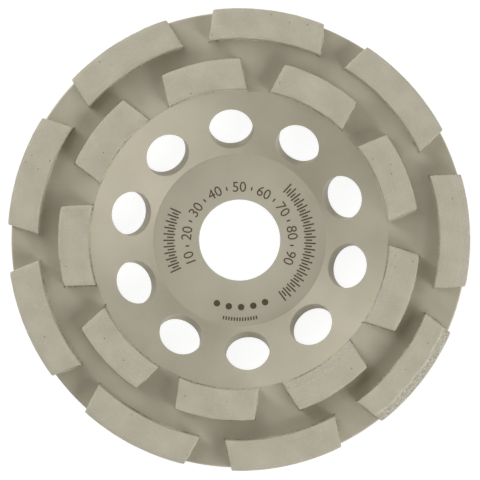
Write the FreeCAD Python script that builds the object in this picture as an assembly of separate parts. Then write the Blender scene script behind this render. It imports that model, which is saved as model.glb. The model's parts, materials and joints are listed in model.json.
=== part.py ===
"""Double-row diamond cup wheel for an angle grinder, 125 mm across with a 22.23 mm bore.

A steel cup is pressed from one sheet, with a flat hub, a cone that flares up from it and a flat
rim, and its front is then turned, which leaves crisp edges there and the press's rounds behind.
Round vents are punched square to the cone. Two rows of curved diamond segments are brazed onto
the front of the rim, and each segment of the inner row stands behind a gap of the outer row.
Origin: centre of the bore, on the back face of the hub. +Z points to the grinding face.
+X runs through the middle of the first outer segment. All lengths are in millimetres.
"""
import FreeCAD, Part
import math
import os

# Pressed steel cup
BORE_DIAMETER = 22.23
SHEET_THICKNESS = 3.0
CONE_ANGLE = 32.0
PRESSED_HUB_RADIUS = 3.0
PRESSED_SHOULDER_RADIUS = 1.5
RIM_CHAMFER = 0.4
RIM_SETBACK = 0.75
SHOULDER_LEDGE = 0.3

# Vents, with the width of cone left on each side of them
VENT_COUNT = 10
VENT_DIAMETER = 12.0
LAND_INSIDE_VENTS = 1.5
LAND_OUTSIDE_VENTS = 4.9

# Diamond segments
WHEEL_DIAMETER = 125.0
SEGMENT_COUNT = 9
SEGMENT_WIDTH = 8.3
SEGMENT_HEIGHT = 5.0
SEGMENT_CHAMFER = 0.3
OUTER_SEGMENT_LENGTH = 30.4
INNER_SEGMENT_LENGTH = 21.8
CHANNEL_WIDTH = 5.3

# Radii of the two rows, counted inwards from the outside of the wheel
outer_row_radius = WHEEL_DIAMETER / 2
inner_row_radius = outer_row_radius - SEGMENT_WIDTH - CHANNEL_WIDTH
segments_end_radius = inner_row_radius - SEGMENT_WIDTH

# Section of the cup, counted on inwards from the segments to the hub
bore_radius = BORE_DIAMETER / 2
rim_radius = outer_row_radius - RIM_SETBACK
cone_tilt = math.radians(CONE_ANGLE)
vent_run = VENT_DIAMETER * math.cos(cone_tilt)
shoulder_radius = segments_end_radius - SHOULDER_LEDGE
vent_circle_radius = shoulder_radius - LAND_OUTSIDE_VENTS - vent_run / 2
hub_radius = vent_circle_radius - vent_run / 2 - LAND_INSIDE_VENTS
rim_back_z = (shoulder_radius - hub_radius) * math.tan(cone_tilt)
rim_front_z = rim_back_z + SHEET_THICKNESS
vent_front_z = SHEET_THICKNESS + (vent_circle_radius - hub_radius) * math.tan(cone_tilt)

# Each row is spread evenly. The inner row stands half a step on, and so does the first vent.
segment_step = 360.0 / SEGMENT_COUNT
vent_step = 360.0 / VENT_COUNT
outer_row_start = 0.0
inner_row_start = segment_step / 2
vent_start = inner_row_start

ORIGIN = FreeCAD.Vector(0, 0, 0)
Z_AXIS = FreeCAD.Vector(0, 0, 1)


def rounded_section(corners):
    """Face in the XZ plane through corners given as (x, z, radius), each rounded to its radius."""
    points = [FreeCAD.Vector(x, 0, z) for x, z, radius in corners]
    rounds = []
    for i, (x, z, radius) in enumerate(corners):
        back = (points[i - 1] - points[i]).normalize()
        ahead = (points[(i + 1) % len(points)] - points[i]).normalize()
        half_opening = back.getAngle(ahead) / 2
        tangent = radius / math.tan(half_opening)
        inset = radius / math.sin(half_opening) - radius
        middle = points[i] + (back + ahead).normalize() * inset
        rounds.append((points[i] + back * tangent, middle, points[i] + ahead * tangent, radius))
    edges = []
    for i, (start, middle, end, radius) in enumerate(rounds):
        if radius > 0:
            edges.append(Part.Arc(start, middle, end).toShape())
        next_start = rounds[(i + 1) % len(rounds)][0]
        edges.append(Part.LineSegment(end, next_start).toShape())
    return Part.Face(Part.Wire(edges))


def pressed_cup():
    """The cup before its vents are punched: one bent section of even thickness, turned about Z."""
    back_offset = SHEET_THICKNESS * math.tan(cone_tilt / 2)
    front = [
        (bore_radius, SHEET_THICKNESS, 0),
        (hub_radius, SHEET_THICKNESS, 0),
        (shoulder_radius, rim_front_z, 0),
        (rim_radius - RIM_CHAMFER, rim_front_z, 0),
        (rim_radius, rim_front_z - RIM_CHAMFER, 0),
    ]
    back = [
        (rim_radius, rim_back_z + RIM_CHAMFER, 0),
        (rim_radius - RIM_CHAMFER, rim_back_z, 0),
        (shoulder_radius + back_offset, rim_back_z, PRESSED_SHOULDER_RADIUS),
        (hub_radius + back_offset, 0, PRESSED_HUB_RADIUS),
        (bore_radius, 0, 0),
    ]
    return rounded_section(front + back).revolve(ORIGIN, Z_AXIS, 360)


def vent_punch():
    """Round punch for a vent over +X: its axis is square to the cone and runs through the whole sheet."""
    outward = FreeCAD.Vector(-math.sin(cone_tilt), 0, math.cos(cone_tilt))
    reach = 2 * SHEET_THICKNESS
    start = FreeCAD.Vector(vent_circle_radius, 0, vent_front_z) - outward * reach
    return Part.makeCylinder(VENT_DIAMETER / 2, 2 * reach, start, outward)


def turned(shape, angle):
    """A copy of the shape, turned about the wheel's axis by the angle in degrees."""
    copy = shape.copy()
    copy.rotate(ORIGIN, Z_AXIS, angle)
    return copy


def cup_body():
    punch = vent_punch()
    return pressed_cup().cut([turned(punch, vent_start + i * vent_step) for i in range(VENT_COUNT)])


def segment(outer_radius, length):
    """Curved bar over +X: its long sides are arcs about the wheel's axis, and its ends are parallel."""
    inner_radius = outer_radius - SEGMENT_WIDTH
    half = length / 2
    outer_x = math.sqrt(outer_radius**2 - half**2)
    inner_x = math.sqrt(inner_radius**2 - half**2)
    corners = [(outer_x, -half), (outer_x, half), (inner_x, half), (inner_x, -half)]
    a, b, c, d = [FreeCAD.Vector(x, y, rim_front_z) for x, y in corners]
    outer_middle = FreeCAD.Vector(outer_radius, 0, rim_front_z)
    inner_middle = FreeCAD.Vector(inner_radius, 0, rim_front_z)
    outline = Part.Wire([
        Part.Arc(a, outer_middle, b).toShape(),
        Part.LineSegment(b, c).toShape(),
        Part.Arc(c, inner_middle, d).toShape(),
        Part.LineSegment(d, a).toShape(),
    ])
    bar = Part.Face(outline).extrude(Z_AXIS * SEGMENT_HEIGHT)
    middle_z = rim_front_z + SEGMENT_HEIGHT / 2
    ground_edges = [edge for edge in bar.Edges if edge.BoundBox.ZMax > middle_z]
    return bar.makeChamfer(SEGMENT_CHAMFER, ground_edges)


def export(shape, name):
    shape.exportStep(os.path.join("parts", name + ".step"))


def export_row(row, bar, start):
    """Writes the segments of one row, spread evenly about the axis from the start angle."""
    for i in range(SEGMENT_COUNT):
        export(turned(bar, start + i * segment_step), f"{row}_segment_{i + 1}")


os.makedirs("parts", exist_ok=True)
export(cup_body(), "cup_body")
export_row("outer", segment(outer_row_radius, OUTER_SEGMENT_LENGTH), outer_row_start)
export_row("inner", segment(inner_row_radius, INNER_SEGMENT_LENGTH), inner_row_start)
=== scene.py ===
import json
import math
import bmesh
import bpy
import numpy as np
from mathutils import Matrix, Vector


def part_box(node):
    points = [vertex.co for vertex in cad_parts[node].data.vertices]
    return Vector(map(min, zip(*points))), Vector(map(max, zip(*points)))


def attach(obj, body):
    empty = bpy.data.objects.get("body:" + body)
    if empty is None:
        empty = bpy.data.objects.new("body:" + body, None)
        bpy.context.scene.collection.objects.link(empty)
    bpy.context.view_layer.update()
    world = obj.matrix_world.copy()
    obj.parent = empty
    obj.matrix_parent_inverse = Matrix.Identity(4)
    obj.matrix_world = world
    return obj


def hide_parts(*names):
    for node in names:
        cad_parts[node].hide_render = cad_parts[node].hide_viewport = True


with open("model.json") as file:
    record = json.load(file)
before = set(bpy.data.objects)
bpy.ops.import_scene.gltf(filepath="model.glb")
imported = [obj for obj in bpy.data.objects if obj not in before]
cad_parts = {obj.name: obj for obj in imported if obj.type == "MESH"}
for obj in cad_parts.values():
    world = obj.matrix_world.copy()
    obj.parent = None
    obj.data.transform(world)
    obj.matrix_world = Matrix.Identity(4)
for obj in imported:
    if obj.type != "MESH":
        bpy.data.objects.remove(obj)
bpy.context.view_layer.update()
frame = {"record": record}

mounts = {mount["name"]: mount for mount in frame["record"]["mounts"]}


# Cup
# One sheet of steel, pressed into a flat hub, a cone and a flat rim, then turned on its front face,
# which leaves fine rings in the metal and crisp edges. The round vents are punched square to the cone.

MM_PER_METRE = 1000.0
BORE_RADIUS = mounts["bore"]["dims"]["r_mm"] / MM_PER_METRE
SHEET_THICKNESS = mounts["hub_front"]["pos_m"][2]
RIM_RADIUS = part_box("cup_body")[1].x
RIM_FRONT_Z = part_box("cup_body")[1].z
CONE_TILT = math.radians(32)
SHOULDER_RADIUS = 0.0403
HUB_RADIUS = SHOULDER_RADIUS - (RIM_FRONT_Z - SHEET_THICKNESS) / math.tan(CONE_TILT)
TURNED_EDGE = 0.0002
PRESSED_HUB_ROUND = 0.003
PRESSED_SHOULDER_ROUND = 0.0015
RIM_EDGE = 0.0004
BORE_EDGE = 0.00015

VENT_COUNT = 10
VENT_RADIUS = 0.006
LAND_OUTSIDE_VENTS = 0.0049
VENT_CIRCLE_RADIUS = SHOULDER_RADIUS - LAND_OUTSIDE_VENTS - VENT_RADIUS * math.cos(CONE_TILT)
VENT_EDGE = 0.00018
VENT_START = math.radians(20)
HALF_SECTOR = math.pi / VENT_COUNT

# The cup's mesh. A support point just outside each end of a round keeps the flat beside it flat, and
# points nearer to each other than the weld distance are merged.
COLUMNS_PER_SECTOR = 24
ROWS_PER_CONE = 20
RINGS_AROUND_VENT = 6
ROUND_STEPS = 5
SUPPORT = 0.00008
CUP_WELD = 0.000002
HEIGHT_PASSES = 8


def rounded_line(corners):
    """Points along a line of corners (radius, height, round), each corner with its round."""
    points = [Vector((r, z)) for r, z, _ in corners]
    line = [points[0]]
    for i in range(1, len(points) - 1):
        back = (points[i - 1] - points[i]).normalized()
        ahead = (points[i + 1] - points[i]).normalized()
        half = back.angle(ahead) / 2
        radius = corners[i][2]
        reach = radius / math.tan(half)
        centre = points[i] + (back + ahead).normalized() * (radius / math.sin(half))
        first = points[i] + back * reach - centre
        last = points[i] + ahead * reach - centre
        line.append(points[i] + back * (reach + SUPPORT))
        for step in range(ROUND_STEPS + 1):
            spoke = first.slerp(last, step / ROUND_STEPS).normalized() * radius
            line.append(centre + spoke)
        line.append(points[i] + ahead * (reach + SUPPORT))
    line.append(points[-1])
    return line


def cone_height(radius, front):
    """Height of the cone's front or back surface at a radius."""
    height = SHEET_THICKNESS + (radius - HUB_RADIUS) * math.tan(CONE_TILT)
    return height if front else height - SHEET_THICKNESS / math.cos(CONE_TILT)


def closed_mesh(work, name, weld=0.0):
    """The mesh of a bmesh, with points within the weld distance merged and its faces outwards."""
    if weld:
        bmesh.ops.remove_doubles(work, verts=work.verts, dist=weld)
    bmesh.ops.recalc_face_normals(work, faces=work.faces)
    mesh = bpy.data.meshes.new(name)
    work.to_mesh(mesh)
    work.free()
    return mesh


def add_object(name, data):
    """A new object of the data, in the scene."""
    added = bpy.data.objects.new(name, data)
    bpy.context.scene.collection.objects.link(added)
    return added


class Shell:
    """Collects turned strips and vent patches, and welds them into one closed mesh."""

    def __init__(self):
        self.points = []
        self.faces = []

    def add_rings(self, rings):
        """Quads between neighbouring closed rings of equally many points, each an array of places."""
        start = len(self.points)
        count = len(rings[0])
        for ring in rings:
            self.points.extend(tuple(p) for p in ring)
        for row in range(len(rings) - 1):
            for i in range(count):
                a = start + row * count + i
                b = start + row * count + (i + 1) % count
                self.faces.append((a, b, b + count, a + count))

    def turn(self, line):
        """A strip of the cup: the line turned about the wheel's axis."""
        angles = VENT_START + HALF_SECTOR + np.arange(VENT_COUNT * COLUMNS_PER_SECTOR) * (
            2 * math.pi / (VENT_COUNT * COLUMNS_PER_SECTOR))
        rings = [np.stack([r * np.cos(angles), r * np.sin(angles), np.full_like(angles, z)], 1)
                 for r, z in line]
        self.add_rings(rings)

    def mesh(self, name):
        """All that was collected, as one smooth mesh."""
        loose = bpy.data.meshes.new(name)
        loose.from_pydata(self.points, [], self.faces)
        work = bmesh.new()
        work.from_mesh(loose)
        bpy.data.meshes.remove(loose)
        mesh = closed_mesh(work, name, CUP_WELD)
        mesh.shade_smooth()
        return mesh


def vent_ring(radius, turns, front, depth=0.0):
    """A ring of points about the vent's axis at its radius, sunk by the depth below the cone."""
    outward = np.array([-math.sin(CONE_TILT), 0, math.cos(CONE_TILT)])
    upslope = np.array([math.cos(CONE_TILT), 0, math.sin(CONE_TILT)])
    centre = np.array([VENT_CIRCLE_RADIUS, 0, cone_height(VENT_CIRCLE_RADIUS, True)])
    ring = centre + radius * (np.outer(np.cos(turns), upslope) + np.outer(np.sin(turns), (0, 1, 0)))
    # The cone curves across the vent, so each point slides along the vent's axis until it lies on it.
    for _ in range(HEIGHT_PASSES):
        distance = np.hypot(ring[:, 0], ring[:, 1])
        miss = ring[:, 2] - cone_height(distance, front)
        ring = ring - np.outer(miss * math.cos(CONE_TILT), outward)
    return ring - depth * outward if front else ring + depth * outward


def sector_border(inner_radius, outer_radius):
    """Points (radius, angle) once round a sector of the cone, from its outer middle anticlockwise."""
    side = np.linspace(-HALF_SECTOR, HALF_SECTOR, COLUMNS_PER_SECTOR + 1)
    rise = np.linspace(inner_radius, outer_radius, ROWS_PER_CONE + 1)
    half = COLUMNS_PER_SECTOR // 2
    border = [(outer_radius, a) for a in side[half:-1]]
    border += [(r, HALF_SECTOR) for r in rise[:0:-1]]
    border += [(inner_radius, a) for a in side[:0:-1]]
    border += [(r, -HALF_SECTOR) for r in rise[:-1]]
    border += [(outer_radius, a) for a in side[:half]]
    return np.array(border)


def turned_about_axis(points, angle):
    """The points, turned anticlockwise about the wheel's axis."""
    c, s = math.cos(angle), math.sin(angle)
    return points @ np.array([[c, s, 0], [-s, c, 0], [0, 0, 1]])


def vent_sector(front_span, back_span):
    """Rings from the front border of one sector of the cone, through its vent, to the back border."""
    border = sector_border(*front_span)
    across = border[:, 0] * np.sin(border[:, 1])
    along = (border[:, 0] * np.cos(border[:, 1]) - VENT_CIRCLE_RADIUS) / math.cos(CONE_TILT)
    turns = np.arctan2(across, along)
    sides = {}
    for front, span in ((True, front_span), (False, back_span)):
        edge = sector_border(*span)
        lip = vent_ring(VENT_RADIUS + VENT_EDGE + SUPPORT, turns, front)
        lip_polar = np.stack([np.hypot(lip[:, 0], lip[:, 1]), np.arctan2(lip[:, 1], lip[:, 0])], 1)
        rings = []
        for step in range(RINGS_AROUND_VENT + 1):
            share = step / RINGS_AROUND_VENT
            polar = edge * (1 - share) + lip_polar * share
            rings.append(np.stack([polar[:, 0] * np.cos(polar[:, 1]), polar[:, 0] * np.sin(polar[:, 1]),
                                   cone_height(polar[:, 0], front)], 1))
        for step in range(ROUND_STEPS + 1):
            bend = math.pi / 2 * step / ROUND_STEPS
            radius = VENT_RADIUS + VENT_EDGE * (1 - math.sin(bend))
            rings.append(vent_ring(radius, turns, front, VENT_EDGE * (1 - math.cos(bend))))
        rings.append(vent_ring(VENT_RADIUS, turns, front, VENT_EDGE + SUPPORT))
        sides[front] = rings
    return sides[True] + sides[False][::-1]


back_step = SHEET_THICKNESS * math.tan(CONE_TILT / 2)
front_line = rounded_line([
    (BORE_RADIUS, SHEET_THICKNESS / 2, 0),
    (BORE_RADIUS, SHEET_THICKNESS, BORE_EDGE),
    (HUB_RADIUS, SHEET_THICKNESS, TURNED_EDGE),
    (SHOULDER_RADIUS, RIM_FRONT_Z, TURNED_EDGE),
    (RIM_RADIUS, RIM_FRONT_Z, RIM_EDGE),
    (RIM_RADIUS, RIM_FRONT_Z - SHEET_THICKNESS / 2, 0),
])
back_line = rounded_line([
    (RIM_RADIUS, RIM_FRONT_Z - SHEET_THICKNESS / 2, 0),
    (RIM_RADIUS, RIM_FRONT_Z - SHEET_THICKNESS, RIM_EDGE),
    (SHOULDER_RADIUS + back_step, RIM_FRONT_Z - SHEET_THICKNESS, PRESSED_SHOULDER_ROUND),
    (HUB_RADIUS + back_step, 0, PRESSED_HUB_ROUND),
    (BORE_RADIUS, 0, BORE_EDGE),
    (BORE_RADIUS, SHEET_THICKNESS / 2, 0),
])
# Each corner has a support point, its round and a support point, so the cone lies between the second
# and the third corner's points.
corner_points = ROUND_STEPS + 3
cone_start = 2 * corner_points
cup = Shell()
cup.turn(front_line[:cone_start + 1])
cup.turn(front_line[cone_start + 1:])
cup.turn(back_line[:cone_start + 1])
cup.turn(back_line[cone_start + 1:])
front_span = (front_line[cone_start][0], front_line[cone_start + 1][0])
back_span = (back_line[cone_start + 1][0], back_line[cone_start][0])
sector = vent_sector(front_span, back_span)
for k in range(VENT_COUNT):
    angle = VENT_START + 2 * HALF_SECTOR * k
    cup.add_rings([turned_about_axis(ring, angle) for ring in sector])

cup_piece = add_object("turned_steel_cup", cup.mesh("turned_steel_cup"))


def new_material(name):
    """An empty material with its output and surface shader joined; gives its nodes, links and shader."""
    material = bpy.data.materials.new(name)
    material.use_nodes = True
    nodes = material.node_tree.nodes
    return material, nodes, material.node_tree.links, nodes["Principled BSDF"]


def feed(tree, value, socket):
    """Links the value to the socket if it comes from a socket, and sets it there if it is a constant."""
    if isinstance(value, bpy.types.NodeSocket):
        tree.links.new(value, socket)
    else:
        socket.default_value = value


def math_node(tree, operation, *values):
    """A Math node whose inputs are sockets or numbers; gives its output."""
    node = tree.nodes.new("ShaderNodeMath")
    node.operation = operation
    for socket, value in zip(node.inputs, values):
        feed(tree, value, socket)
    return node.outputs[0]


def weighted_sum(tree, base, *parts):
    """The base plus each of the parts, given as a socket with its weight."""
    total = base
    for socket, weight in parts:
        total = math_node(tree, "MULTIPLY_ADD", socket, weight, total)
    return total


def noise_node(tree, coordinates, scale, detail, roughness=0.5):
    """Cloudy noise over object coordinates, with its scale in features for each metre."""
    node = tree.nodes.new("ShaderNodeTexNoise")
    node.inputs["Scale"].default_value = scale
    node.inputs["Detail"].default_value = detail
    node.inputs["Roughness"].default_value = roughness
    tree.links.new(coordinates, node.inputs["Vector"])
    return node.outputs["Fac"]


def colour_ramp(tree, factor, stops):
    """A colour ramp through stops of (position, colour)."""
    node = tree.nodes.new("ShaderNodeValToRGB")
    elements = node.color_ramp.elements
    elements[0].position, elements[0].color = stops[0][0], (*stops[0][1], 1)
    elements[1].position, elements[1].color = stops[-1][0], (*stops[-1][1], 1)
    for position, colour in stops[1:-1]:
        elements.new(position).color = (*colour, 1)
    tree.links.new(factor, node.inputs["Fac"])
    return node.outputs["Color"]


def bump_node(tree, height, distance, strength, normal=None):
    """A normal tilted by the height, on top of another normal if one is given."""
    node = tree.nodes.new("ShaderNodeBump")
    node.inputs["Distance"].default_value = distance
    node.inputs["Strength"].default_value = strength
    tree.links.new(height, node.inputs["Height"])
    if normal is not None:
        tree.links.new(normal, node.inputs["Normal"])
    return node.outputs["Normal"]


def axis_distance(tree, place):
    """Distance of a place from the wheel's axis."""
    flatten = tree.nodes.new("ShaderNodeVectorMath")
    flatten.operation = "MULTIPLY"
    flatten.inputs[1].default_value = (1, 1, 0)
    tree.links.new(place, flatten.inputs[0])
    length = tree.nodes.new("ShaderNodeVectorMath")
    length.operation = "LENGTH"
    tree.links.new(flatten.outputs[0], length.inputs[0])
    return length.outputs["Value"]


def ring_noise(tree, distance, scale, detail):
    """Noise that changes only with the distance from the axis, as a cutting tool leaves it."""
    node = tree.nodes.new("ShaderNodeTexNoise")
    node.noise_dimensions = "1D"
    node.inputs["Scale"].default_value = scale
    node.inputs["Detail"].default_value = detail
    tree.links.new(distance, node.inputs["W"])
    return node.outputs["Fac"]


EDGE_FADE = 0.0003


def turned_steel():
    """Matte steel under a warm lacquer: turning rings about the axis, faint clouds and fine grain.

    The hub is paler than the cone and hardly shows its rings, and the rim lies between the two."""
    material, nodes, links, shader = new_material("turned_steel")
    tree = material.node_tree
    place = nodes.new("ShaderNodeTexCoord").outputs["Object"]
    distance = axis_distance(tree, place)

    def beyond(radius, least):
        """One beyond a radius from the wheel's axis, and the least value inside it."""
        node = nodes.new("ShaderNodeMapRange")
        node.inputs["From Min"].default_value = radius - EDGE_FADE
        node.inputs["From Max"].default_value = radius + EDGE_FADE
        node.inputs["To Min"].default_value = least
        links.new(distance, node.inputs["Value"])
        return node.outputs[0]

    turned_share = beyond(HUB_RADIUS, least=0.1)
    rim_share = beyond(SHOULDER_RADIUS, least=0.0)
    rings = ring_noise(tree, distance, scale=9000, detail=3)
    clouds = noise_node(tree, place, scale=70, detail=3)
    grain = noise_node(tree, place, scale=2600, detail=2)
    tone = weighted_sum(tree, 0.38, (clouds, 0.6), (grain, 0.2), (turned_share, -0.31), (rim_share, 0.1))
    colour = colour_ramp(tree, tone, [(0.3, (0.422, 0.387, 0.294)), (0.8, (0.551, 0.513, 0.404))])
    links.new(colour, shader.inputs["Base Color"])
    shader.inputs["Metallic"].default_value = 0.15
    links.new(weighted_sum(tree, 0.52, (turned_share, -0.05), (grain, 0.1)), shader.inputs["Roughness"])
    ring_height = math_node(tree, "MULTIPLY", rings, turned_share)
    ringed = bump_node(tree, ring_height, distance=0.00001, strength=0.3)
    grained = bump_node(tree, grain, distance=0.00003, strength=0.3, normal=ringed)
    links.new(grained, shader.inputs["Normal"])
    return material


cup_piece.data.materials.append(turned_steel())
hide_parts("cup_body")
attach(cup_piece, "root")


# Etched marks
# A dial of plain numbers and graduations with a row of dots, burnt brown into the hub's front face by
# a laser. They stand no prouder than the scorched skin of the steel.

MARK_SKIN = 0.00002
LINE_WIDTH = 0.0004
NUMBER_COUNT = 9
NUMBER_RADIUS = 0.0144
NUMBER_SIZE = 0.004
NUMBER_CURVE_STEPS = 4
FIRST_NUMBER = math.radians(198)
NUMBER_STEP = math.radians(-27.5)
DOT_COUNT = 5
DOT_RADIUS = 0.0009
DOT_CORNERS = 24
DOTS_AT_RADIUS = 0.0184
FIRST_DOT = math.radians(248)
DOT_STEP = math.radians(10.5)
MARK_WELD = 0.0000001
# Each arc of short lines: distance of their middles from the axis, length of a line, how many there
# are, where the arc starts and the step from line to line, the last two in degrees.
LINE_ARCS = [
    (0.0144, 0.0010, 8, 184.25, -27.5),
    (0.0193, 0.0032, 11, 203, -5),
    (0.0190, 0.0018, 10, 200.5, -5),
    (0.0193, 0.0032, 21, 45, -5),
    (0.0190, 0.0018, 20, 42.5, -5),
    (0.0217, 0.0010, 13, 256, 2),
]


def scorched_steel():
    """Steel darkened by a laser: nearly black brown, uneven where the beam's passes overlap."""
    material, nodes, links, shader = new_material("scorched_steel")
    tree = material.node_tree
    place = nodes.new("ShaderNodeTexCoord").outputs["Object"]
    passes = noise_node(tree, place, scale=3000, detail=3, roughness=0.6)
    colour = colour_ramp(tree, passes, [(0.3, (0.055, 0.037, 0.021)), (0.7, (0.16, 0.115, 0.070))])
    links.new(colour, shader.inputs["Base Color"])
    shader.inputs["Metallic"].default_value = 0.2
    links.new(weighted_sum(tree, 0.5, (passes, 0.2)), shader.inputs["Roughness"])
    links.new(bump_node(tree, passes, distance=0.00002, strength=0.4), shader.inputs["Normal"])
    return material


def new_tree(name, inputs):
    """A Geometry Nodes tree with the named inputs; gives it, their identifiers and their sockets."""
    tree = bpy.data.node_groups.new(name, "GeometryNodeTree")
    identifiers = {}
    for label, kind in inputs:
        socket = tree.interface.new_socket(label, in_out="INPUT", socket_type="NodeSocket" + kind)
        identifiers[label] = socket.identifier
    tree.interface.new_socket("Geometry", in_out="OUTPUT", socket_type="NodeSocketGeometry")
    return tree, identifiers, tree.nodes.new("NodeGroupInput").outputs


def copies_about_axis(tree, given, angle):
    """Instances of the given shape, as many as the given count, each turned by its own angle."""
    points = tree.nodes.new("GeometryNodePoints")
    tree.links.new(given["Count"], points.inputs["Count"])
    turn = tree.nodes.new("ShaderNodeCombineXYZ")
    tree.links.new(angle, turn.inputs["Z"])
    copies = tree.nodes.new("GeometryNodeInstanceOnPoints")
    tree.links.new(points.outputs[0], copies.inputs["Points"])
    tree.links.new(given["Geometry"], copies.inputs["Instance"])
    tree.links.new(turn.outputs[0], copies.inputs["Rotation"])
    return copies.outputs[0]


def made_real(tree, instances):
    """The instances as plain geometry."""
    real = tree.nodes.new("GeometryNodeRealizeInstances")
    tree.links.new(instances, real.inputs[0])
    return real.outputs[0]


def send_out(tree, given, geometry):
    """Gives the geometry the given material and sends it out of the tree."""
    finish = tree.nodes.new("GeometryNodeSetMaterial")
    tree.links.new(geometry, finish.inputs["Geometry"])
    tree.links.new(given["Material"], finish.inputs["Material"])
    tree.links.new(finish.outputs[0], tree.nodes.new("NodeGroupOutput").inputs[0])


def arc_tree():
    """Copies of one shape, turned about the wheel's axis in even steps."""
    tree, identifiers, given = new_tree("Arc of copies", [
        ("Geometry", "Geometry"), ("Count", "Int"), ("Start Angle", "Float"), ("Step Angle", "Float"),
        ("Material", "Material")])
    index = tree.nodes.new("GeometryNodeInputIndex").outputs[0]
    angle = math_node(tree, "MULTIPLY_ADD", index, given["Step Angle"], given["Start Angle"])
    send_out(tree, given, made_real(tree, copies_about_axis(tree, given, angle)))
    return tree, identifiers


def taken_mesh(holder):
    """The object's mesh as its modifiers leave it. The object itself is removed."""
    ready = holder.evaluated_get(bpy.context.evaluated_depsgraph_get())
    mesh = bpy.data.meshes.new_from_object(ready)
    bpy.data.objects.remove(holder)
    return mesh


def made_by(tree, identifiers, shape, values):
    """The plain mesh that a tree makes of a shape, with the tree's inputs set to the values by name."""
    holder = add_object("holder", shape)
    maker = holder.modifiers.new("maker", "NODES")
    maker.node_group = tree
    for name, value in values.items():
        maker[identifiers[name]] = value
    return taken_mesh(holder)


def plate_mesh(name, outline):
    """A plate of the marks' thickness from an outline of (x, y) points."""
    work = bmesh.new()
    bottom, top = [[work.verts.new((x, y, z)) for x, y in outline] for z in (-MARK_SKIN, MARK_SKIN)]
    for i in range(len(outline)):
        j = (i + 1) % len(outline)
        work.faces.new((bottom[i], bottom[j], top[j], top[i]))
    work.faces.new(top)
    work.faces.new(bottom[::-1])
    return closed_mesh(work, name)


def number_mesh(number):
    """The number's outline as a plate, centred on its own middle."""
    text = bpy.data.curves.new("number", "FONT")
    text.body = str(number)
    text.size = NUMBER_SIZE
    text.extrude = MARK_SKIN
    text.resolution_u = NUMBER_CURVE_STEPS
    text.align_x, text.align_y = "CENTER", "CENTER"
    return taken_mesh(add_object("number", text))


def arc_mesh(shape, count, start, step, material):
    """The plain mesh of an arc of copies of one shape."""
    return made_by(arc_of_copies, arc_inputs, shape, {
        "Count": count, "Start Angle": start, "Step Angle": step, "Material": material})


def on_hub(mesh, radius, bearing=0.0):
    """The mesh laid on the hub's front face at its radius and bearing, with its top side outwards."""
    out = Matrix.Translation((radius, 0, SHEET_THICKNESS)) @ Matrix.Rotation(-math.pi / 2, 4, "Z")
    mesh.transform(Matrix.Rotation(bearing, 4, "Z") @ out)
    return mesh


def joined_piece(name, meshes, material):
    """One object of all the meshes, which rides on the cup."""
    work = bmesh.new()
    for mesh in meshes:
        work.from_mesh(mesh)
    whole = closed_mesh(work, name, MARK_WELD)
    whole.materials.clear()
    whole.materials.append(material)
    piece = add_object(name, whole)
    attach(piece, "root")
    return piece


scorched = scorched_steel()
arc_of_copies, arc_inputs = arc_tree()
marks = []
for i in range(NUMBER_COUNT):
    marks.append(on_hub(number_mesh(10 * (i + 1)), NUMBER_RADIUS, FIRST_NUMBER + i * NUMBER_STEP))
for radius, length, count, start, step in LINE_ARCS:
    x, y = LINE_WIDTH / 2, length / 2
    line = on_hub(plate_mesh("line", [(-x, -y), (x, -y), (x, y), (-x, y)]), radius)
    marks.append(arc_mesh(line, count, math.radians(start), math.radians(step), scorched))
turns = np.arange(DOT_CORNERS) * (2 * math.pi / DOT_CORNERS)
dot = plate_mesh("dot", list(zip(DOT_RADIUS * np.cos(turns), DOT_RADIUS * np.sin(turns))))
marks.append(arc_mesh(on_hub(dot, DOTS_AT_RADIUS), DOT_COUNT, FIRST_DOT, DOT_STEP, scorched))

joined_piece("etched_marks", marks, scorched)


# Diamond segments
# Curved bars of sintered metal with diamond grit, nine long ones along the edge and nine shorter ones
# behind their gaps. Each is brazed onto the rim, and its ends are cut parallel.

SEGMENT_COUNT = 9
SEGMENT_WIDTH = 0.0083
SEGMENT_TOP_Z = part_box("outer_segment_1")[1].z
SEGMENT_HEIGHT = SEGMENT_TOP_Z - RIM_FRONT_Z
OUTER_ROW_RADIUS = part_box("outer_segment_1")[1].x
OUTER_SEGMENT_LENGTH = 2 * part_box("outer_segment_1")[1].y
INNER_ROW_RADIUS = -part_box("inner_segment_5")[0].x
INNER_SEGMENT_LENGTH = 2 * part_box("inner_segment_5")[1].y
SEGMENT_EDGE = 0.00032
BAR_STEPS = (96, 40, 14)
EDGE_CROWDING = (1.6, 1.7, 1.8)
HALF_STEP = math.pi / SEGMENT_COUNT
ASKEW = math.radians(0.12)

# Wear. Each edge wears within a band of it, and less on the lower half of a segment. On some segments
# the top also breaks down to a ragged step, in a band along one of its two long lips.
GRAIN_HEIGHT = 0.00006
EDGE_WEAR = 0.0012
EDGE_BAND = 0.0012
LOW_EDGE_SHARE = 0.3
LIP_BAND = 0.0034
LIP_DEPTH = 0.0015
LIP_STEEPNESS = 8.0
LIP_RARITY = 5.0
LUCK_SEED_SHIFT = 7
WORN_SHARE_PER_MM = 5.0
# How fully the painted highlight on a worn step's top edge shows, for each millimetre stored.
PAINTED_HIGHLIGHT_SHARE_PER_MM = 4.2


def crowded(steps, power):
    """Evenly counted places from -1 to 1 that crowd towards both ends."""
    even = np.linspace(-1, 1, steps + 1)
    return np.sign(even) * (1 - (1 - np.abs(even)) ** power)


def vertex_places(mesh):
    """The places of the mesh's points, one in each row."""
    flat = np.zeros(len(mesh.vertices) * 3)
    mesh.vertices.foreach_get("co", flat)
    return flat.reshape(-1, 3)


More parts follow.
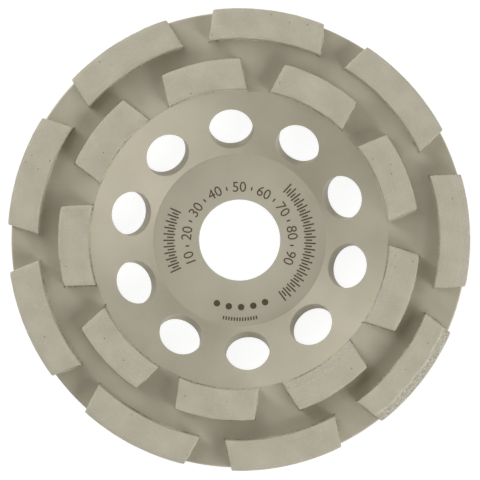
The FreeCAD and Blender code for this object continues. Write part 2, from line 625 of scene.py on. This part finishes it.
def segment_bar(outer_radius, length, worn_side):
    """A closed bar over +X with rounded edges, concentric long sides and parallel ends.

    Its attributes tell how near each point is to an edge and to the lip that wears, which is the outer
    one for a worn_side of 1 and the inner one for -1."""
    size = np.array([length, SEGMENT_WIDTH, SEGMENT_HEIGHT]) / 2
    places = [crowded(steps, power) * half for steps, power, half in zip(BAR_STEPS, EDGE_CROWDING, size)]
    work = bmesh.new()
    index = {}

    def corner(i, j, k):
        if (i, j, k) not in index:
            index[i, j, k] = work.verts.new((places[0][i], places[1][j], places[2][k]))
        return index[i, j, k]

    for axis in range(3):
        a, b = [other for other in range(3) if other != axis]
        for end in (0, BAR_STEPS[axis]):
            for i in range(BAR_STEPS[a]):
                for j in range(BAR_STEPS[b]):
                    quad = []
                    for di, dj in ((0, 0), (1, 0), (1, 1), (0, 1)):
                        key = [0, 0, 0]
                        key[axis], key[a], key[b] = end, i + di, j + dj
                        quad.append(corner(*key))
                    work.faces.new(quad)
    mesh = closed_mesh(work, "bar")
    box = vertex_places(mesh)
    core = np.clip(box, -size + SEGMENT_EDGE, size - SEGMENT_EDGE)
    out = box - core
    # The seat on the rim stays square, so only the top, the sides and the ends are rounded there.
    out[:, 2] = np.where(box[:, 2] < 0, 0, out[:, 2])
    core[:, 2] = np.where(box[:, 2] < 0, box[:, 2], core[:, 2])
    reach = np.maximum(np.linalg.norm(out, axis=1), SEGMENT_EDGE)
    box = core + out * (SEGMENT_EDGE / reach)[:, None]
    near_edge = np.clip(1 - np.sort(size - np.abs(box), axis=1)[:, 1] / EDGE_BAND, 0, 1)
    near_edge = np.where(box[:, 2] > 0, near_edge, near_edge * LOW_EDGE_SHARE)
    worn_lip = np.clip(1 - (size[1] - worn_side * box[:, 1]) / LIP_BAND, 0, 1)
    worn_lip = worn_lip * (box[:, 2] > size[2] - LIP_DEPTH)
    radius = outer_radius - SEGMENT_WIDTH / 2 + box[:, 1]
    placed = np.stack([np.sqrt(radius**2 - box[:, 0] ** 2), box[:, 0],
                       RIM_FRONT_Z + SEGMENT_HEIGHT / 2 + box[:, 2]], 1)
    mesh.vertices.foreach_set("co", placed.ravel())
    for attribute, values in (("near_edge", near_edge), ("worn_lip", worn_lip)):
        mesh.attributes.new(attribute, "FLOAT", "POINT").data.foreach_set("value", values)
    # Bending the bar swaps two of its axes and turns it inside out, so its faces are set right again.
    bent = bmesh.new()
    bent.from_mesh(mesh)
    mesh = closed_mesh(bent, "bent_bar")
    mesh.shade_smooth()
    return mesh


def row_tree():
    """Turns copies of one bar about the axis, sets each a hair askew, and roughens its faces and edges."""
    tree, identifiers, given = new_tree("Row of segments", [
        ("Geometry", "Geometry"), ("Count", "Int"), ("Start Angle", "Float"), ("Askew", "Float"),
        ("Grain Height", "Float"), ("Edge Wear", "Float"), ("Lip Wear", "Float"), ("Seed", "Int"),
        ("Material", "Material")])
    new, link = tree.nodes.new, tree.links.new

    def stored(geometry, name, value, domain):
        """The geometry with a value stored on it under a name."""
        node = new("GeometryNodeStoreNamedAttribute")
        node.data_type = "FLOAT"
        node.domain = domain
        node.inputs["Name"].default_value = name
        link(geometry, node.inputs["Geometry"])
        link(value, node.inputs["Value"])
        return node.outputs[0]

    def attribute(name):
        """A value that was stored under a name."""
        node = new("GeometryNodeInputNamedAttribute")
        node.data_type = "FLOAT"
        node.inputs["Name"].default_value = name
        return node.outputs["Attribute"]

    def product(*factors):
        """The factors, which are sockets or numbers, multiplied."""
        total = factors[0]
        for factor in factors[1:]:
            total = math_node(tree, "MULTIPLY", total, factor)
        return total

    step = math_node(tree, "DIVIDE", 2 * math.pi, given["Count"])
    index = new("GeometryNodeInputIndex").outputs[0]
    # The random number's least and greatest values are its third and fourth inputs.
    askew = new("FunctionNodeRandomValue")
    link(product(given["Askew"], -1), askew.inputs[2])
    link(given["Askew"], askew.inputs[3])
    link(given["Seed"], askew.inputs["Seed"])
    angle = math_node(tree, "MULTIPLY_ADD", index, step, given["Start Angle"])
    angle = math_node(tree, "ADD", angle, askew.outputs[1])
    bad_luck = new("FunctionNodeRandomValue")
    link(math_node(tree, "ADD", given["Seed"], LUCK_SEED_SHIFT), bad_luck.inputs["Seed"])
    bars = stored(copies_about_axis(tree, given, angle), "bad_luck", bad_luck.outputs[1], "INSTANCE")
    bars = made_real(tree, bars)

    # Grain: the noise less a little over one is always below nought, so the faces only sink.
    place = new("GeometryNodeInputPosition").outputs[0]
    fine = noise_node(tree, place, scale=900, detail=3, roughness=0.6)
    grain = product(math_node(tree, "SUBTRACT", fine, 1.1), given["Grain Height"])
    # Edges: the noise's third power leaves shallow wear with a few deep chips.
    chips = noise_node(tree, place, scale=420, detail=3, roughness=0.7)
    chips = math_node(tree, "POWER", chips, 3.0)
    edge = product(chips, given["Edge Wear"], attribute("near_edge"))
    # Lip: a steep step with a ragged border and a torn floor, deep only where the bad luck is great.
    ragged = noise_node(tree, place, scale=350, detail=3, roughness=0.7)
    ragged = math_node(tree, "ADD", product(ragged, 0.5), attribute("worn_lip"))
    step_down = product(math_node(tree, "SUBTRACT", ragged, 0.5), LIP_STEEPNESS)
    step_down.node.use_clamp = True
    in_lip = math_node(tree, "GREATER_THAN", attribute("worn_lip"), 0.0)
    badly_worn = math_node(tree, "POWER", attribute("bad_luck"), LIP_RARITY)
    lip_worn = product(step_down, badly_worn, in_lip)
    torn = noise_node(tree, place, scale=1100, detail=3, roughness=0.8)
    torn = math_node(tree, "MULTIPLY_ADD", torn, 0.9, 0.2)
    lip = product(torn, lip_worn, given["Lip Wear"])
    # The lip band where the top has not yet stepped down, stored only to paint a highlight on the step's
    # lit edge.
    painted_highlight = product(lip_worn, math_node(tree, "SUBTRACT", 1.0, step_down), given["Lip Wear"])
    for name, depth in (("worn_mm", lip), ("painted_highlight_mm", painted_highlight)):
        bars = stored(bars, name, product(depth, MM_PER_METRE), "POINT")

    push = math_node(tree, "SUBTRACT", math_node(tree, "SUBTRACT", grain, edge), lip)
    along = new("ShaderNodeVectorMath")
    along.operation = "SCALE"
    link(new("GeometryNodeInputNormal").outputs[0], along.inputs[0])
    link(push, along.inputs["Scale"])
    rough = new("GeometryNodeSetPosition")
    link(bars, rough.inputs["Geometry"])
    link(along.outputs[0], rough.inputs["Offset"])
    send_out(tree, given, rough.outputs[0])
    return tree, identifiers


def mixed(tree, share, colour, other):
    """A colour with its share of another one, which is a socket or red, green, blue and one."""
    node = tree.nodes.new("ShaderNodeMix")
    node.data_type = "RGBA"
    tree.links.new(share, node.inputs["Factor"])
    tree.links.new(colour, node.inputs["A"])
    feed(tree, other, node.inputs["B"])
    return node.outputs["Result"]


def sintered_metal():
    """Matte sintered metal with dressing marks, pits where grit fell out darkened with painted shade,
    diamond grains whose brightness is a painted glint, and a painted highlight on the edge of a worn step.
    """
    material, nodes, links, shader = new_material("sintered_metal")
    tree = material.node_tree
    place = nodes.new("ShaderNodeTexCoord").outputs["Object"]
    clouds = noise_node(tree, place, scale=160, detail=3)
    grain = noise_node(tree, place, scale=2200, detail=4, roughness=0.7)
    # Dressing leaves rings about the axis, which show in patches only.
    dressing = ring_noise(tree, axis_distance(tree, place), scale=2600, detail=2)
    patches = math_node(tree, "MULTIPLY_ADD", noise_node(tree, place, scale=55, detail=2), 5.0, -2.3)
    patches.node.use_clamp = True
    dressed = math_node(tree, "MULTIPLY", math_node(tree, "SUBTRACT", dressing, 0.5), patches)
    tone = weighted_sum(tree, 0.0, (clouds, 0.5), (grain, 0.5), (dressed, 0.4))
    colour = colour_ramp(tree, tone, [(0.3, (0.435, 0.40, 0.305)), (0.7, (0.569, 0.533, 0.424))])

    def grains(scale, size, rarity):
        """One near a few scattered cell centres, which are fewer the rarer they are, else nought."""
        cells = nodes.new("ShaderNodeTexVoronoi")
        cells.inputs["Scale"].default_value = scale
        links.new(place, cells.inputs["Vector"])
        close = math_node(tree, "LESS_THAN", cells.outputs["Distance"], size)
        draw = nodes.new("ShaderNodeSeparateColor")
        links.new(cells.outputs["Color"], draw.inputs[0])
        picked = math_node(tree, "GREATER_THAN", draw.outputs[0], rarity)
        return math_node(tree, "MULTIPLY", close, picked)

    pits = grains(scale=620, size=0.14, rarity=0.9)
    glinting_grains = grains(scale=1500, size=0.16, rarity=0.93)
    # The bump sinks the pits, and their dark colour is painted shade in the hollows. The diamond grains'
    # bright colour is a painted glint.
    for share, speck in ((pits, (0.20, 0.175, 0.135, 1)), (glinting_grains, (0.80, 0.78, 0.70, 1))):
        colour = mixed(tree, math_node(tree, "MULTIPLY", share, 0.7), colour, speck)

    # Where a lip is worn, grit stands out dark and bright, and the step's top edge gets a painted
    # highlight.
    worn, painted_highlight = nodes.new("ShaderNodeAttribute"), nodes.new("ShaderNodeAttribute")
    worn.attribute_name, painted_highlight.attribute_name = "worn_mm", "painted_highlight_mm"
    grit = noise_node(tree, place, scale=2400, detail=2, roughness=0.8)
    torn = colour_ramp(tree, grit, [(0.32, (0.21, 0.185, 0.14)), (0.41, (0.46, 0.43, 0.34)),
                                    (0.6, (0.54, 0.51, 0.41)), (0.67, (0.82, 0.79, 0.71))])
    worn_share = math_node(tree, "MULTIPLY", worn.outputs["Fac"], WORN_SHARE_PER_MM)
    worn_share.node.use_clamp = True
    painted_highlight_share = math_node(tree, "MULTIPLY", painted_highlight.outputs["Fac"], PAINTED_HIGHLIGHT_SHARE_PER_MM)
    colour = mixed(tree, worn_share, colour, torn)
    colour = mixed(tree, painted_highlight_share, colour, (0.72, 0.68, 0.57, 1))
    links.new(colour, shader.inputs["Base Color"])
    shader.inputs["Metallic"].default_value = 0.15
    links.new(weighted_sum(tree, 0.5, (grain, 0.2)), shader.inputs["Roughness"])
    height = weighted_sum(tree, grain, (pits, -0.8), (dressed, 1.2), (worn_share, grit))
    links.new(bump_node(tree, height, distance=0.00006, strength=0.5), shader.inputs["Normal"])
    return material


bond = sintered_metal()
row_of_segments, row_inputs = row_tree()


def segment_row(row, outer_radius, length, start, seed, worn_side, lip_wear):
    """One row of segments, made in place and then parted into the pieces that replace its nodes."""
    whole = made_by(row_of_segments, row_inputs, segment_bar(outer_radius, length, worn_side), {
        "Count": SEGMENT_COUNT, "Start Angle": start, "Askew": ASKEW, "Grain Height": GRAIN_HEIGHT,
        "Edge Wear": EDGE_WEAR, "Lip Wear": lip_wear, "Seed": seed, "Material": bond})
    places = vertex_places(whole).reshape(SEGMENT_COUNT, -1, 3)
    corners = np.zeros(len(whole.loops), int)
    whole.loops.foreach_get("vertex_index", corners)
    corners = corners.reshape(SEGMENT_COUNT, -1, 4)
    wear = {}
    for attribute in ("worn_mm", "painted_highlight_mm"):
        values = np.zeros(len(whole.vertices))
        whole.attributes[attribute].data.foreach_get("value", values)
        wear[attribute] = values.reshape(SEGMENT_COUNT, -1)
    for i in range(SEGMENT_COUNT):
        name = f"{row}_segment_{i + 1}"
        mesh = bpy.data.meshes.new(name + "_bond")
        mesh.from_pydata(places[i].tolist(), [], (corners[i] - i * places.shape[1]).tolist())
        for attribute, values in wear.items():
            mesh.attributes.new(attribute, "FLOAT", "POINT").data.foreach_set("value", values[i])
        mesh.materials.append(bond)
        mesh.shade_smooth()
        piece = add_object(name + "_bond", mesh)
        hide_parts(name)
        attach(piece, "root")


segment_row("outer", OUTER_ROW_RADIUS, OUTER_SEGMENT_LENGTH, start=0.0, seed=1083, worn_side=1,
            lip_wear=0.0004)
segment_row("inner", INNER_ROW_RADIUS, INNER_SEGMENT_LENGTH, start=HALF_STEP, seed=706, worn_side=-1,
            lip_wear=0.00013)


# Braze
# What creeps out under each segment when it is brazed to the rim: a thin lumpy fillet round its foot.
# The long segments overhang the rim, so theirs leaves out the outer side.

BRAZE_SIZE = 0.00028
LEAST_SHARE = 0.2
WANDER_SHARE = 1.6
BRAZE_HOLLOW = 0.35
BRAZE_SINK = 0.00012
BRAZE_STEP = 0.0006
BRAZE_SEED = 20
CORNER_TURNS = 3
CORNER_SWELL = 1.9
BRAZE_VARIANTS = 3
OVERHANG = 0.0014


def foot_stations(length, overhang):
    """Stations round the foot of a segment, as if it were straight: (along, across, bearing, swell)."""
    x, y = length / 2, SEGMENT_WIDTH / 2
    sides = [(x, y - overhang, x, -y), (x, -y, -x, -y), (-x, -y, -x, y - overhang)]
    if not overhang:
        sides.append((-x, y, x, y))
    stations = []
    for side, (x0, y0, x1, y1) in enumerate(sides):
        bearing = -side * math.pi / 2
        steps = round(math.hypot(x1 - x0, y1 - y0) / BRAZE_STEP)
        stations += [(x0 + (x1 - x0) * step / steps, y0 + (y1 - y0) * step / steps, bearing, 1)
                     for step in range(steps + 1)]
        if side + 1 < len(sides) or not overhang:
            stations += [(x1, y1, bearing - turn * math.pi / 2 / CORNER_TURNS, CORNER_SWELL)
                         for turn in range(1, CORNER_TURNS)]
    return stations


def fillet_mesh(outer_radius, length, overhang, seed):
    """The braze round one segment's foot: a hollow-faced fillet whose size wanders from place to place."""
    stations = foot_stations(length, overhang)
    wander = np.random.default_rng(seed).random(len(stations))
    wander = (np.roll(wander, 1) + 2 * wander + np.roll(wander, -1)) / 4
    rings = []
    for (x, y, bearing, swell), share in zip(stations, wander):
        size = BRAZE_SIZE * (LEAST_SHARE + WANDER_SHARE * share) * swell
        hollow = BRAZE_HOLLOW * size
        ring = []
        for out, z in ((-BRAZE_SINK, -BRAZE_SINK), (size, -BRAZE_SINK), (hollow, hollow),
                       (-BRAZE_SINK, size)):
            along = x + out * math.cos(bearing)
            radius = outer_radius - SEGMENT_WIDTH / 2 + y + out * math.sin(bearing)
            ring.append((math.sqrt(radius**2 - along**2), along, RIM_FRONT_Z + z))
        rings.append(ring)
    work = bmesh.new()
    loops = [[work.verts.new(point) for point in ring] for ring in rings]
    if not overhang:
        loops.append(loops[0])
    for ring, after in zip(loops, loops[1:]):
        for i in range(len(ring)):
            j = (i + 1) % len(ring)
            work.faces.new((ring[i], ring[j], after[j], after[i]))
    if overhang:
        work.faces.new(loops[0])
        work.faces.new(loops[-1])
    return closed_mesh(work, "fillet")


def braze():
    """Pale brazing alloy, frozen as it ran, darkened along stretches of the seam as painted shade of the
    gap at the segment's foot.
    """
    material, nodes, links, shader = new_material("braze")
    tree = material.node_tree
    place = nodes.new("ShaderNodeTexCoord").outputs["Object"]
    blotches = noise_node(tree, place, scale=1400, detail=3, roughness=0.6)
    # Darker stretches and blotches along the seam are painted shade of the gap at the segment's foot. The
    # blotches also roughen and bump the alloy.
    shaded_stretches = noise_node(tree, place, scale=90, detail=2)
    seam_shade = weighted_sum(tree, -0.6, (blotches, 1.0), (shaded_stretches, 1.2))
    colour = colour_ramp(tree, seam_shade, [(0.3, (0.25, 0.225, 0.17)), (0.42, (0.42, 0.385, 0.295)),
                                      (0.6, (0.58, 0.54, 0.43))])
    links.new(colour, shader.inputs["Base Color"])
    shader.inputs["Metallic"].default_value = 0.3
    links.new(weighted_sum(tree, 0.35, (blotches, 0.2)), shader.inputs["Roughness"])
    links.new(bump_node(tree, blotches, distance=0.00004, strength=0.4), shader.inputs["Normal"])
    return material


alloy = braze()
fillets = []
for variant in range(BRAZE_VARIANTS):
    for outer_radius, length, overhang, start in (
            (OUTER_ROW_RADIUS, OUTER_SEGMENT_LENGTH, OVERHANG, 0.0),
            (INNER_ROW_RADIUS, INNER_SEGMENT_LENGTH, 0.0, HALF_STEP)):
        fillet = fillet_mesh(outer_radius, length, overhang, BRAZE_SEED + variant)
        fillets.append(arc_mesh(fillet, SEGMENT_COUNT // BRAZE_VARIANTS, start + 2 * HALF_STEP * variant,
                                2 * HALF_STEP * BRAZE_VARIANTS, alloy))
joined_piece("braze_fillets", fillets, alloy).data.shade_smooth()


# Floor
# A white sweep that the wheel lies on, hub down. The camera sees it almost white, and the wheel's soft
# shadow stays on it.

FLOOR_HALF = 3.0
FLOOR_GLOW = 0.9
FLOOR_ROUGHNESS = 0.9
FLOOR_WHITE = (0.8, 0.8, 0.8, 1)
SHADOW_WHITE = (0.2, 0.2, 0.2, 1)
floor_mesh = bpy.data.meshes.new("floor")
floor_mesh.from_pydata([(-FLOOR_HALF, -FLOOR_HALF, 0), (FLOOR_HALF, -FLOOR_HALF, 0),
                        (FLOOR_HALF, FLOOR_HALF, 0), (-FLOOR_HALF, FLOOR_HALF, 0)], [], [(0, 1, 2, 3)])
floor = add_object("floor", floor_mesh)
floor_paint, nodes, links, shader = new_material("white_sweep")
shader.inputs["Base Color"].default_value = FLOOR_WHITE
shader.inputs["Roughness"].default_value = FLOOR_ROUGHNESS
# The camera and mirror rays see a glowing floor with a soft shadow on it, all other rays plain paint.
rays = nodes.new("ShaderNodeLightPath")
seen = math_node(floor_paint.node_tree, "MAXIMUM", rays.outputs["Is Camera Ray"],
                 rays.outputs["Is Glossy Ray"])
glow = nodes.new("ShaderNodeEmission")
glow.inputs["Strength"].default_value = FLOOR_GLOW
dim = nodes.new("ShaderNodeBsdfDiffuse")
dim.inputs["Color"].default_value = SHADOW_WHITE
both = nodes.new("ShaderNodeAddShader")
links.new(glow.outputs[0], both.inputs[0])
links.new(dim.outputs[0], both.inputs[1])
choice = nodes.new("ShaderNodeMixShader")
links.new(seen, choice.inputs["Fac"])
links.new(shader.outputs[0], choice.inputs[1])
links.new(both.outputs[0], choice.inputs[2])
links.new(choice.outputs[0], nodes["Material Output"].inputs["Surface"])
floor.data.materials.append(floor_paint)


# Light
# A ring of soft boxes that stand low around the table, brightest at the photograph's upper left and
# lower right, and two higher ones at the upper left. Bearings are counted in the photograph,
# anticlockwise from its right.

PHOTO_TURN = math.radians(2.3)
LAMP_DISTANCE = 1.0
LAMP_SIDE = 0.5
ROOM_GLOW = 0.02
# Each lamp: name, bearing, height above the table in degrees, and watts.
LAMPS = [
    ("right", 5, 20, 2.8),
    ("top", 97, 20, 2.7),
    ("upper_left", 142, 20, 3.9),
    ("left", 187, 20, 1.6),
    ("bottom", 277, 20, 2.2),
    ("lower_right", 322, 35, 5.2),
    ("upper_left_high", 142, 50, 1.6),
    ("overhead", 142, 70, 0.8),
]
for name, bearing, height, power in LAMPS:
    lamp_data = bpy.data.lights.new(name, "AREA")
    lamp_data.size = LAMP_SIDE
    lamp_data.energy = power
    lamp = add_object(name, lamp_data)
    angle = math.radians(bearing) - PHOTO_TURN
    rise = math.radians(height)
    towards = Vector((math.cos(rise) * math.cos(angle), math.cos(rise) * math.sin(angle), math.sin(rise)))
    lamp.location = LAMP_DISTANCE * towards
    lamp.rotation_euler = (-lamp.location).to_track_quat("-Z", "Y").to_euler()

world = bpy.data.worlds.new("room")
world.use_nodes = True
nodes, links = world.node_tree.nodes, world.node_tree.links
rays = nodes.new("ShaderNodeLightPath")
strength = math_node(world.node_tree, "MULTIPLY_ADD", rays.outputs["Is Camera Ray"], 1 - ROOM_GLOW,
                     ROOM_GLOW)
nodes["Background"].inputs["Color"].default_value = (1, 1, 1, 1)
links.new(strength, nodes["Background"].inputs["Strength"])
bpy.context.scene.world = world


# Camera
# The photograph looks down on the grinding face from about a metre, a little to the right of the
# axis and below it.

PHOTO_SIDE = 480
PIXELS_PER_METRE = 3710
CAMERA_HEIGHT = 0.95
CAMERA_ASIDE = (0.0144, -0.0115)
AIM_ASIDE = (0.00035, -0.00019)
SENSOR_MM = 36
CLIP_START = 0.05


def in_photo_axes(aside, z):
    """Place at a height z, its distances right and up given as the photograph has them."""
    place = Vector((aside[0], aside[1], z))
    place.rotate(Matrix.Rotation(-PHOTO_TURN, 3, "Z"))
    return place


camera_data = bpy.data.cameras.new("camera")
camera = add_object("camera", camera_data)
camera.location = in_photo_axes(CAMERA_ASIDE, SEGMENT_TOP_Z + CAMERA_HEIGHT)
ahead = in_photo_axes(AIM_ASIDE, SEGMENT_TOP_Z) - camera.location
right = ahead.cross(in_photo_axes((0, 1), 0)).normalized()
up = right.cross(ahead).normalized()
camera.rotation_euler = Matrix((right, up, -ahead.normalized())).transposed().to_euler()
camera_data.sensor_width = SENSOR_MM
camera_data.lens = PIXELS_PER_METRE * ahead.length / PHOTO_SIDE * SENSOR_MM
camera_data.clip_start = CLIP_START
bpy.context.scene.camera = camera

bpy.context.scene.view_settings.view_transform = "Standard"
